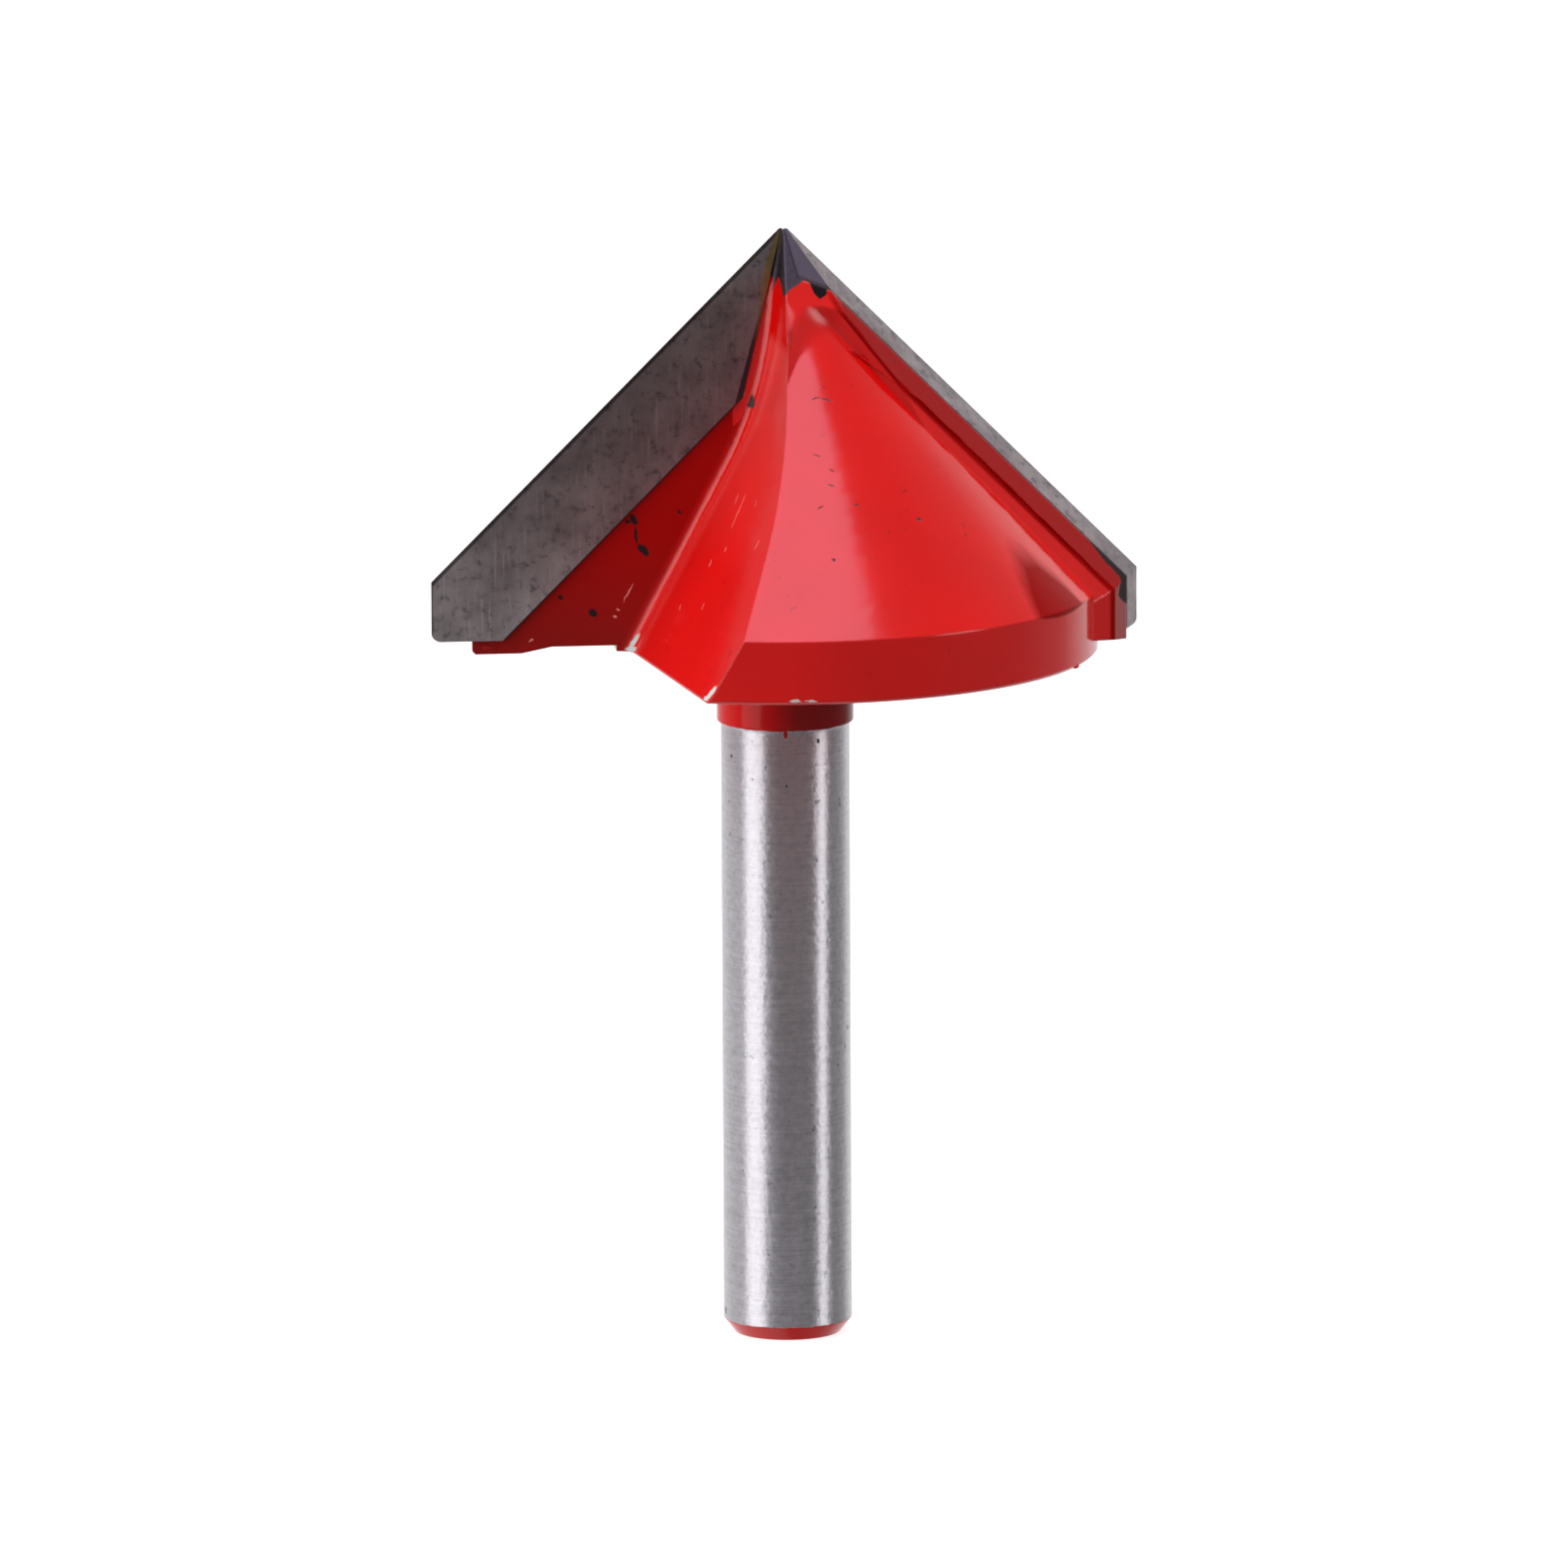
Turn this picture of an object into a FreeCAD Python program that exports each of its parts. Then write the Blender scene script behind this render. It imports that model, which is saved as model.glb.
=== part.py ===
import FreeCAD, Part
import os

import Sketcher

V = FreeCAD.Vector

# Frame: origin in the middle of the shank's flat end, +Z along the axis to the V tip,
# the two cutting edges in the XZ plane. Lengths are in mm, angles in degrees.

SIZES = [
    ("shank_diameter", 6.35, "quarter inch shank held by the collet"),
    ("shank_length", 30.8, "ground shank, from its flat end to the neck"),
    ("shank_chamfer_rise", 0.7, "height of the chamfer on the shank's end"),
    ("shank_chamfer_width", 0.55, "width of the chamfer on the shank's end"),
    ("neck_diameter", 6.75, "neck between shank and head"),
    ("neck_length", 3.5, "neck, from the shank to the head's underside"),
    ("neck_chamfer", 0.2, "chamfer where the neck drops to the shank"),
    ("head_diameter", 30.86, "turned head, at its straight band"),
    ("head_edge", 0.15, "chamfer round the head's lower edge"),
    ("band_height", 3.1, "straight band below the head's cone"),
    ("cutting_diameter", 34.92, "circle swept by the cutting edges"),
    ("groove_angle", 90.0, "included angle of the groove that is cut"),
    ("blade_rise", 0.7, "blade's lower edge above the head's underside"),
    ("blade_land", 3.0, "straight cutting edge below the V"),
    ("blade_foot_radius", 0.45, "rounding at the lower end of the straight edge"),
    ("blade_width", 4.6, "carbide plate across, from cutting edge to inner edge"),
    ("blade_thickness", 1.8, "carbide plate"),
    ("blade_neck_lean", 15.1, "lean from the axis of the plate's steep inner edge"),
    ("edge_relief", 18.0, "clearance ground behind the sloping edge"),
    ("land_relief", 21.0, "clearance ground behind the straight edge"),
    ("braze_gap", 0.12, "filler between the plate's back and its seat"),
    ("braze_side_gap", 0.1, "filler along the plate's long inner edge"),
    ("braze_neck_lean", 13.0, "lean from the axis of the seat beside the steep edge"),
    ("wing_thickness", 3.6, "blade and steel wing together, behind the cutting edge"),
    ("wing_relief", 24.6, "clearance of the steel behind the blade"),
    ("wing_wall", 1.0, "depth of the wing's back wall, down into the head"),
    ("wing_wall_lean", 53.5, "steepness of the wing's back wall"),
    ("wing_drop", 0.25, "wing's lower edge below the blade's, at the seat"),
    ("wing_foot_relief", 8.5, "rise of the wing's lower edge toward its back wall"),
    ("under_cut_rise", 0.3, "shallow cut under the head behind the gullet's floor"),
    ("under_cut_reach", 13.0, "outer end of the cut under the head, from the axis"),
    ("core_corner_x", 2.08, "foot of the corner between core and wing, along X"),
    ("core_corner_y", 2.46, "foot of the corner between core and wing, along Y"),
    ("core_corner_drop", 4.66, "foot of that corner below the sharp tip"),
    ("core_wall_turn", 52.7, "turn of the core's wall from the Y axis"),
    ("core_wall_lean", 20.0, "lean of the core's wall toward the axis"),
    ("hollow_foot_radius", 0.3, "rounding between core and wing at the corner's foot"),
    ("hollow_top_radius", 5.7, "the same rounding at the level where the hollow ends"),
    ("hollow_rise", 2.3, "level where the hollow ends, above the corner's foot"),
    ("core_reach", 6.2, "how far the core spreads from the cutting plane"),
    ("core_left", 1.2, "how far the core passes the axis before the gullet cuts it"),
    ("core_drop", 0.25, "steel core below the sharp tip"),
    ("cone_drop", 1.06, "sharp apex of the turned cone below the sharp tip"),
    ("wing_flare_turn", 21.0, "turn from the X axis of the wing's wall near the tip"),
    ("tip_facet_turn", 70.7, "direction in which the tip's clearance facet falls"),
    ("tip_facet_tilt", 50.2, "tilt of the tip's clearance facet"),
    ("tip_facet_reach", 8.5, "length of the tip's clearance facet"),
    ("tip_flat", 0.2, "height lost where the sharp tip is blunted"),
    ("gullet_depth", 0.25, "gullet's floor behind the blade's rake face"),
    ("gullet_foot", 7.6, "gullet's corner from the axis, at the head's underside"),
    ("gullet_lean", 27.9, "lean of the gullet's wall, lower part"),
    ("gullet_tip_lean", 6.0, "lean of the gullet's wall beside the tip"),
    ("gullet_blend", 20.0, "radius between the wall's two parts"),
    ("gullet_mouth_foot", 4.95, "gullet's mouth from the axis, at the head's underside"),
    ("gullet_mouth_top", 0.5, "gullet's mouth beyond the axis, beside the tip"),
    ("gullet_mouth_reach", 16.5, "gullet's mouth from the cutting plane"),
    ("gullet_fillet", 0.7, "radius between the gullet's floor and wall"),
    ("cutter_spare", 1.5, "how far a cut runs past the surface that it opens"),
]

# The two blades, half a turn apart.
SIDES = [("a", 0), ("b", 180)]

# Straight strokes of the grinder that make up the rounding of the hollow beside the tip.
STROKES = 6

# Slack for telling whether two points of the drawing coincide.
TOLERANCE = 1e-4

# Heights along the axis and lines of the blade, as formulas on the sizes.
S = "Sizes."
HEAD_Z = f"({S}shank_length + {S}neck_length)"
BAND_TOP_Z = f"({HEAD_Z} + {S}band_height)"
BLADE_Z = f"({HEAD_Z} + {S}blade_rise)"
CUT_R = f"({S}cutting_diameter / 2)"
HALF = f"({S}groove_angle / 2)"
TIP_Z = f"({BLADE_Z} + {S}blade_land + {CUT_R} / tan({HALF}))"
SEAT_Y = f"({S}blade_thickness + {S}braze_gap)"
CORNER_Z = f"({TIP_Z} - {S}core_corner_drop)"


def add_sheet(doc):
    """Driving sizes, one row each: name, value, meaning."""
    sheet = doc.addObject("Spreadsheet::Sheet", "Sizes")
    for row, (alias, value, meaning) in enumerate(SIZES, start=1):
        sheet.set(f"A{row}", alias)
        sheet.set(f"B{row}", str(value))
        sheet.set(f"C{row}", meaning)
        sheet.setAlias(f"B{row}", alias)
    doc.recompute()
    return sheet


def number(doc, formula):
    """Present value of a formula on the sizes."""
    value = doc.Sizes.evalExpression(formula.replace(S, ""))
    return float(getattr(value, "Value", value))


def add_body(doc, label):
    body = doc.addObject("PartDesign::Body", label)
    body.Label = label
    return body


def origin_item(body, role):
    return next(f for f in body.Origin.OriginFeatures if f.Role == role)


def add_sketch(body, name, plane="XZ_Plane", offset="0"):
    """Empty sketch on one of the body's planes; on XZ_Plane the offset runs toward -Y."""
    sketch = body.newObject("Sketcher::SketchObject", name)
    sketch.AttachmentSupport = (origin_item(body, plane), [""])
    sketch.MapMode = "FlatFace"
    sketch.setExpression("AttachmentOffset.Base.z", offset)
    return sketch


def place_vertex(sketch, edge, end, corner):
    """Ties one end of an edge to its two formulas."""
    for kind, formula in zip(("DistanceX", "DistanceY"), corner):
        value = number(sketch.Document, formula)
        index = sketch.addConstraint(Sketcher.Constraint(kind, -1, 1, edge, end, value))
        sketch.setExpression(f"Constraints[{index}]", formula)


def draw_polygon(sketch, corners):
    """Closed polygon whose corners are pairs of formulas."""
    doc = sketch.Document
    points = [V(number(doc, a), number(doc, b), 0) for a, b in corners]
    count = len(points)
    for i in range(count):
        sketch.addGeometry(Part.LineSegment(points[i], points[(i + 1) % count]), False)
    for i in range(count):
        sketch.addConstraint(Sketcher.Constraint("Coincident", i, 2, (i + 1) % count, 1))
    for i, corner in enumerate(corners):
        place_vertex(sketch, i, 1, corner)


def add_loft(body, name, kind, sections):
    loft = body.newObject(f"PartDesign::{kind}", name)
    loft.Profile = sections[0]
    loft.Sections = sections[1:]
    loft.Ruled = True
    body.Document.recompute()
    return loft


def add_extrusion(body, name, kind, sketch, length, backward=False):
    """Pad or pocket along the sketch's normal, or against it when backward."""
    feature = body.newObject(f"PartDesign::{kind}", name)
    feature.Profile = sketch
    feature.setExpression("Length", length)
    feature.Reversed = backward
    body.Document.recompute()
    return feature


def repeat_twice(body, name, features):
    """The same features again, half a turn round the axis."""
    pattern = body.newObject("PartDesign::PolarPattern", name)
    pattern.Originals = features
    pattern.Axis = (origin_item(body, "Z_Axis"), [""])
    pattern.Angle = 360
    pattern.Occurrences = 2
    body.Tip = pattern
    body.Document.recompute()
    return pattern


def inset_corner(edge_inset, land_inset):
    """Corner of the V and the land after both are set back, as X and Z."""
    x = f"({CUT_R} - {land_inset})"
    return x, f"({TIP_Z} - ({x} + {edge_inset} / cos({HALF})) / tan({HALF}))"


def inner_edge(width, neck_lean, edge_inset="0"):
    """Where a plate or seat meets the blade's lower edge, its kink, and its top, as X and Z."""
    step = f"{width} / cos({HALF})"
    foot = f"(({TIP_Z} - {BLADE_Z}) * tan({HALF}) - {step})"
    fall = f"({step} / (tan({HALF}) - tan({neck_lean})))"
    top = f"({edge_inset} / cos({HALF}) / (tan({HALF}) - tan({neck_lean})))"
    return [
        (foot, BLADE_Z),
        (f"{fall} * tan({neck_lean})", f"{TIP_Z} - {fall}"),
        (f"{top} * tan({neck_lean})", f"{TIP_Z} - {top}"),
    ]


def relief(depth, angle):
    """How far a surface has dropped at a depth behind the cutting plane."""
    return f"({depth} * tan({S}{angle}))"


def plate_outline(width, neck_lean, edge_inset, land_inset):
    """Outline of the plate, seen along Y, after its cutting edges are set back."""
    foot, kink, top = inner_edge(width, neck_lean, edge_inset)
    corner = inset_corner(edge_inset, land_inset)
    return [top, corner, (corner[0], BLADE_Z), foot, kink]


def cut_tip_facet(body, name):
    """Clearance facet that falls away from the tip behind the cutting edge."""
    sketch = add_sketch(body, f"{name}_sketch", "XY_Plane")
    sketch.setExpression("AttachmentOffset.Base.z", None)
    turn = f"rotation(-{S}tip_facet_turn; {S}tip_facet_tilt; 0)"
    sketch.setExpression("AttachmentOffset", f"placement(vector(0; 0; {TIP_Z}); {turn})")
    back = f"-{S}cutter_spare"
    side = f"{S}tip_facet_reach"
    draw_polygon(sketch, [(back, f"-{side}"), (side, f"-{side}"), (side, side), (back, side)])
    return add_extrusion(body, name, "Pocket", sketch, f"{S}tip_facet_reach", backward=True)


def cut_tip_flat(body, name, drop):
    """Everything above a level just under the sharp tip is gone."""
    sketch = add_sketch(body, f"{name}_sketch", "XY_Plane", f"{TIP_Z} - {drop}")
    side = f"{S}wing_thickness"
    draw_polygon(sketch, [(f"-{side}", f"-{side}"), (side, f"-{side}"), (side, side), (f"-{side}", side)])
    return add_extrusion(body, name, "Pocket", sketch, f"{S}cutter_spare", backward=True)


def round_blade_foot(body, name, plate):
    """Rounds the corner between the straight cutting edge and the plate's lower edge."""
    foot_z = number(body.Document, BLADE_Z)
    lower = []
    for i, edge in enumerate(plate.Shape.Edges, start=1):
        ends = [v.Point for v in edge.Vertexes]
        along_depth = abs(ends[0].y - ends[-1].y) > TOLERANCE
        if along_depth and all(abs(p.z - foot_z) < TOLERANCE for p in ends):
            lower.append((max(p.x for p in ends), f"Edge{i}"))
    fillet = body.newObject("PartDesign::Fillet", name)
    fillet.Base = (plate, [max(lower)[1]])
    fillet.setExpression("Radius", f"{S}blade_foot_radius")
    body.Document.recompute()
    return fillet


def make_blade(doc, label, turn):
    """Carbide plate: rake face in the cutting plane, cutting edges relieved toward its back."""
    body = add_body(doc, label)
    face = add_sketch(body, f"{label}_rake")
    draw_polygon(face, plate_outline(f"{S}blade_width", f"{S}blade_neck_lean", "0", "0"))
    back = add_sketch(body, f"{label}_back", offset=f"{S}blade_thickness")
    depth = f"{S}blade_thickness"
    insets = relief(depth, "edge_relief"), relief(depth, "land_relief")
    draw_polygon(back, plate_outline(f"{S}blade_width", f"{S}blade_neck_lean", *insets))
    plate = add_loft(body, f"{label}_plate", "AdditiveLoft", [face, back])
    round_blade_foot(body, f"{label}_foot", plate)
    cut_tip_facet(body, f"{label}_facet")
    cut_tip_flat(body, f"{label}_flat", f"{S}tip_flat")
    body.Placement = FreeCAD.Placement(V(), FreeCAD.Rotation(V(0, 0, 1), turn))
    return body


def make_braze(doc, label, turn):
    """Brass filler: a thin layer behind the plate and a strip along its inner edges."""
    body = add_body(doc, label)
    seat_width = f"({S}blade_width + {S}braze_side_gap)"
    insets = relief(SEAT_Y, "edge_relief"), relief(SEAT_Y, "land_relief")
    layer = add_sketch(body, f"{label}_layer", offset=f"{S}blade_thickness")
    draw_polygon(layer, plate_outline(seat_width, f"{S}braze_neck_lean", *insets))
    add_extrusion(body, f"{label}_back", "Pad", layer, f"{S}braze_gap")
    strip = add_sketch(body, f"{label}_strip", offset=f"{S}gullet_depth")
    plate = inner_edge(f"{S}blade_width", f"{S}blade_neck_lean")
    seat = inner_edge(seat_width, f"{S}braze_neck_lean")
    draw_polygon(strip, [plate[0], plate[1], plate[2], seat[1], seat[0]])
    add_extrusion(body, f"{label}_side", "Pad", strip, f"{S}blade_thickness - {S}gullet_depth")
    cut_tip_facet(body, f"{label}_facet")
    cut_tip_flat(body, f"{label}_flat", f"{S}tip_flat")
    body.Placement = FreeCAD.Placement(V(), FreeCAD.Rotation(V(0, 0, 1), turn))
    return body


def wing_outline(depth, edge_inset, land_inset):
    """Outline of the steel wing at one depth, from beyond the axis to its lower edge."""
    past = f"-{S}core_left"
    top = f"({TIP_Z} - ({past} + {edge_inset} / cos({HALF})) / tan({HALF}))"
    corner = inset_corner(edge_inset, land_inset)
    rise = relief(f"({depth} - {SEAT_Y})", "wing_foot_relief")
    foot_z = f"({BLADE_Z} - {S}wing_drop + {rise})"
    return [
        (past, top),
        corner,
        (corner[0], foot_z),
        (f"{S}neck_diameter", foot_z),
        (past, BAND_TOP_Z),
    ]


def add_wing(body):
    """Steel wing behind the right blade: relief, then a steep back wall into the head."""
    wing_run = f"({S}wing_thickness - {SEAT_Y})"
    fall = f"({S}wing_wall * tan({S}wing_wall_lean))"
    insets = [(relief(SEAT_Y, "edge_relief"), relief(SEAT_Y, "land_relief"))]
    insets.append(tuple(f"({i} + {relief(wing_run, 'wing_relief')})" for i in insets[0]))
    insets.append(tuple(f"({i} + {fall})" for i in insets[1]))
    depths = [SEAT_Y, f"{S}wing_thickness", f"({S}wing_thickness + {S}wing_wall)"]
    sections = []
    for place, (depth, (edge, land)) in enumerate(zip(depths, insets), start=1):
        section = add_sketch(body, f"wing_section_{place}", offset=depth)
        draw_polygon(section, wing_outline(depth, edge, land))
        sections.append(section)
    return add_loft(body, "wing", "AdditiveLoft", sections)


def add_core(body):
    """Core of the tip, which joins the two wings across the axis."""
    sketch = add_sketch(body, "core_sketch", "XY_Plane", BAND_TOP_Z)
    overlap = f"{S}gullet_depth"
    far_left = f"(-{S}core_left - {S}core_corner_x)"
    draw_polygon(sketch, [
        (f"-{S}core_left", overlap),
        (f"{S}core_corner_x", overlap),
        (f"{S}core_corner_x", f"-{S}core_reach"),
        (far_left, f"-{S}core_reach"),
    ])
    return add_extrusion(body, "core", "Pad", sketch, f"{TIP_Z} - {BAND_TOP_Z} - {S}core_drop")


def hollow_outline(level, radius):
    """Hollow beside the tip at one level: the core's wall, a rounding in strokes, the wing's wall."""
    wall, flare = f"{S}core_wall_turn", f"{S}wing_flare_turn"
    inward = f"(({level} - {CORNER_Z}) * tan({S}core_wall_lean))"
    slide = f"({inward} / (cos({wall}) + sin({wall}) * tan({flare})))"
    corner_x = f"({S}core_corner_x - {slide})"
    corner_y = f"(-{S}core_corner_y + {slide} * tan({flare}))"
    away = f"({radius} / sin((90 + {wall} - {flare}) / 2))"
    middle = f"((90 - {wall} - {flare}) / 2)"
    centre_x = f"({corner_x} + {away} * sin({middle}))"
    centre_y = f"({corner_y} - {away} * cos({middle}))"
    run = f"({S}core_reach + {S}cutter_spare)"
    outline = [(f"{corner_x} - {run} * sin({wall})", f"{corner_y} - {run} * cos({wall})")]
    for stroke in range(STROKES + 1):
        turn = f"({wall} - 90 + {stroke} / {STROKES} * (90 - {wall} + {flare}))"
        outline.append((f"{centre_x} + {radius} * sin({turn})", f"{centre_y} + {radius} * cos({turn})"))
    outline.append((f"{S}core_corner_x + {run}", f"-{S}core_corner_y - {run} * tan({flare})"))
    outline.append((corner_x, f"-2 * {run}"))
    return outline


def cut_hollow(body):
    """Hollow between core and wing: the core's wall leans inward and the wing's wall flares out."""
    levels = [
        (HEAD_Z, f"{S}hollow_foot_radius"),
        (CORNER_Z, f"{S}hollow_foot_radius"),
        (f"({CORNER_Z} + {S}hollow_rise)", f"{S}hollow_top_radius"),
    ]
    sections = []
    for place, (level, radius) in enumerate(levels, start=1):
        section = add_sketch(body, f"hollow_section_{place}", "XY_Plane", level)
        draw_polygon(section, hollow_outline(level, radius))
        sections.append(section)
    return add_loft(body, "hollow", "SubtractiveLoft", sections)


def add_turned_form(body):
    """Shank, neck, head and cone, turned in one piece."""
    sketch = add_sketch(body, "turned_profile")
    shank_r = f"{S}shank_diameter / 2"
    neck_r = f"{S}neck_diameter / 2"
    head_r = f"{S}head_diameter / 2"
    draw_polygon(sketch, [
        ("0", "0"),
        (f"{shank_r} - {S}shank_chamfer_width", "0"),
        (shank_r, f"{S}shank_chamfer_rise"),
        (shank_r, f"{S}shank_length - {S}neck_chamfer"),
        (neck_r, f"{S}shank_length"),
        (neck_r, HEAD_Z),
        (f"{head_r} - {S}head_edge", HEAD_Z),
        (head_r, f"{HEAD_Z} + {S}head_edge"),
        (head_r, BAND_TOP_Z),
        ("0", f"{TIP_Z} - {S}cone_drop"),
    ])
    turned = body.newObject("PartDesign::Revolution", "turned_form")
    turned.Profile = sketch
    turned.ReferenceAxis = (sketch, ["V_Axis"])
    turned.Angle = 360
    body.Document.recompute()
    return turned


def cut_seat(body):
    """Seat of the right blade, with room for the filler."""
    sketch = add_sketch(body, "seat_sketch")
    seat_width = f"({S}blade_width + {S}braze_side_gap)"
    foot, kink, top = inner_edge(seat_width, f"{S}braze_neck_lean")
    outside = f"({CUT_R} + {S}cutter_spare)"
    above = f"({TIP_Z} + {S}cutter_spare)"
    draw_polygon(sketch, [foot, kink, top, ("0", above), (outside, above), (outside, BLADE_Z)])
    return add_extrusion(body, "seat", "Pocket", sketch, SEAT_Y, backward=True)


def cut_under_head(body):
    """Shallow cut across the head's underside, outward from the gullet's corner."""
    sketch = add_sketch(body, "under_cut_sketch")
    inner = f"({S}gullet_foot + {S}gullet_fillet)"
    low_z = f"({HEAD_Z} - {S}cutter_spare)"
    high_z = f"({HEAD_Z} + {S}under_cut_rise)"
    outer_top = f"({S}under_cut_reach - {S}cutter_spare)"
    draw_polygon(sketch, [
        (inner, low_z),
        (f"{S}under_cut_reach", low_z),
        (f"{S}under_cut_reach", HEAD_Z),
        (outer_top, high_z),
        (inner, high_z),
    ])
    depth = f"{S}wing_thickness + {S}wing_wall"
    return add_extrusion(body, "under_cut", "Pocket", sketch, depth, backward=True)


def draw_gullet_outline(sketch, foot, top, top_lean):
    """Gullet's outline at one depth: straight lower wall, blend, straight upper wall."""
    doc = sketch.Document
    lean = f"tan({S}gullet_lean)"
    top_slope = f"tan({top_lean})"
    low_z = f"({HEAD_Z} - {S}cutter_spare)"
    high_z = f"({TIP_Z} + {S}cutter_spare)"
    far_x = f"(-{CUT_R} - {S}cutter_spare)"
    low = (f"(-{foot} - {S}cutter_spare * {lean})", low_z)
    high = (f"({top} + {S}cutter_spare * {top_slope})", high_z)
    height = f"({TIP_Z} - {HEAD_Z})"
    meet = f"(({top} + {foot} - {height} * {top_slope}) / ({lean} - {top_slope}))"
    meet_x = f"({meet} * {lean} - {foot})"
    meet_z = f"({HEAD_Z} + {meet})"
    half_bend = f"(({S}gullet_lean - {top_lean}) / 2)"
    run = f"({S}gullet_blend * tan({half_bend}))"
    bow = f"({S}gullet_blend * (1 / cos({half_bend}) - 1))"
    middle_lean = f"(({S}gullet_lean + {top_lean}) / 2)"
    start = (f"{meet_x} - {run} * sin({S}gullet_lean)", f"{meet_z} - {run} * cos({S}gullet_lean)")
    end = (f"{meet_x} + {run} * sin({top_lean})", f"{meet_z} + {run} * cos({top_lean})")
    middle = (f"{meet_x} - {bow} * cos({middle_lean})", f"{meet_z} + {bow} * sin({middle_lean})")
    corners = [low, start, end, high, (far_x, high_z), (far_x, low_z)]
    points = [V(number(doc, a), number(doc, b), 0) for a, b in corners]
    crest = V(number(doc, middle[0]), number(doc, middle[1]), 0)
    sketch.addGeometry(Part.LineSegment(points[0], points[1]), False)
    sketch.addGeometry(Part.Arc(points[1], crest, points[2]), False)
    for i in range(2, len(points)):
        sketch.addGeometry(Part.LineSegment(points[i], points[(i + 1) % len(points)]), False)
    for i in range(len(points)):
        sketch.addConstraint(Sketcher.Constraint("Coincident", i, 2, (i + 1) % len(points), 1))
    for i, corner in enumerate(corners):
        place_vertex(sketch, i, 1, corner)
    radius = sketch.addConstraint(Sketcher.Constraint("Radius", 1, doc.Sizes.gullet_blend))
    sketch.setExpression(f"Constraints[{radius}]", f"{S}gullet_blend")


def make_gullet_cutter(doc, label, turn):
    """Space of the left gullet: flat floor, leaning wall, rounded corner between them."""
    body = add_body(doc, label)
    floor = add_sketch(body, f"{label}_floor", offset=f"-{S}gullet_depth")
    draw_gullet_outline(floor, f"{S}gullet_foot", "0", f"{S}gullet_tip_lean")
    mouth = add_sketch(body, f"{label}_mouth", offset=f"{S}gullet_mouth_reach")
    draw_gullet_outline(mouth, f"{S}gullet_mouth_foot", f"{S}gullet_mouth_top", "0")
    space = add_loft(body, f"{label}_space", "AdditiveLoft", [floor, mouth])
    floor_y = doc.Sizes.gullet_depth
    wall_x = -doc.Sizes.cutting_diameter / 2
    corner = []
    for i, edge in enumerate(space.Shape.Edges, start=1):
        ends = [v.Point for v in edge.Vertexes]
        on_floor = all(abs(p.y - floor_y) < TOLERANCE for p in ends)
        upright = abs(ends[0].z - ends[-1].z) > TOLERANCE
        if on_floor and upright and min(p.x for p in ends) > wall_x:
            corner.append(f"Edge{i}")
    fillet = body.newObject("PartDesign::Fillet", f"{label}_corner")
    fillet.Base = (space, corner)
    fillet.setExpression("Radius", f"{S}gullet_fillet")
    doc.recompute()
    body.Placement = FreeCAD.Placement(V(), FreeCAD.Rotation(V(0, 0, 1), turn))
    return body


def make_steel_body(doc, label):
    """Turned steel with two wings, a core at the tip, two seats and two gullets."""
    body = add_body(doc, label)
    features = [add_wing(body), add_core(body), cut_hollow(body)]
    repeat_twice(body, "wings", features)
    add_turned_form(body)
    cuts = [cut_seat(body), cut_tip_facet(body, "tip_facet"), cut_under_head(body)]
    repeat_twice(body, "milled_cuts", cuts)
    gullets = body.newObject("PartDesign::Boolean", "gullets")
    gullets.Type = "Cut"
    cutters = [make_gullet_cutter(doc, f"gullet_cutter_{side}", turn) for side, turn in SIDES]
    gullets.setObjects(cutters)
    body.Tip = gullets
    doc.recompute()
    return body


def check(doc, parts):
    """Stops unless every feature and every finished piece is sound."""
    for item in doc.Objects:
        if "Invalid" in item.State or "Error" in item.State:
            raise RuntimeError(f"{item.Name}: {item.State}")
    for part in parts:
        shape = part.Shape
        if shape.isNull() or not shape.isValid() or len(shape.Solids) != 1:
            raise RuntimeError(f"{part.Label}: not one sound solid")
        print(part.Label, round(shape.Volume, 3), shape.BoundBox)


def main():
    doc = FreeCAD.newDocument("v_groove_router_bit")
    add_sheet(doc)
    parts = [make_steel_body(doc, "steel_body")]
    for side, turn in SIDES:
        parts.append(make_blade(doc, f"carbide_blade_{side}", turn))
        parts.append(make_braze(doc, f"braze_layer_{side}", turn))
    doc.recompute()
    check(doc, parts)
    os.makedirs("parts", exist_ok=True)
    for part in parts:
        part.Shape.exportStep(f"parts/{part.Label}.step")


main()
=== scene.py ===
"""A two-flute, carbide-tipped V groove router bit: its finishes and the studio that it stands in."""

import math

import bmesh
import bpy
from mathutils import Matrix, Quaternion, Vector, noise


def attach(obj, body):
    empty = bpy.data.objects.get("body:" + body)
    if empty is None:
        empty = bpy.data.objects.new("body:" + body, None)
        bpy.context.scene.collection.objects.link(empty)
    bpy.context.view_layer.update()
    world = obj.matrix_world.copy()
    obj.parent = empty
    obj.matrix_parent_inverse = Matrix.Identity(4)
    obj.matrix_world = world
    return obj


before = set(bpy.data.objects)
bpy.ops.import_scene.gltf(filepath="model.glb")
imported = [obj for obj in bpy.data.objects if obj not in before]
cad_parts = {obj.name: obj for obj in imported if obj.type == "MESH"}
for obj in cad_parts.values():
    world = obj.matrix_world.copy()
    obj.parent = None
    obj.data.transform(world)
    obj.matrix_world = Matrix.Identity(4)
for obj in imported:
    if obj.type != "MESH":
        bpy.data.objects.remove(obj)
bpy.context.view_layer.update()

bl_info = {
    "name": "V Groove Router Bit",
    "version": (1, 0, 0),
    "blender": (4, 5, 0),
    "location": "3D View > Sidebar > Router Bit",
    "description": "Gives the pieces of a V groove router bit their finishes and sets up its studio",
    "category": "Object",
}

MM = 0.001

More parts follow.
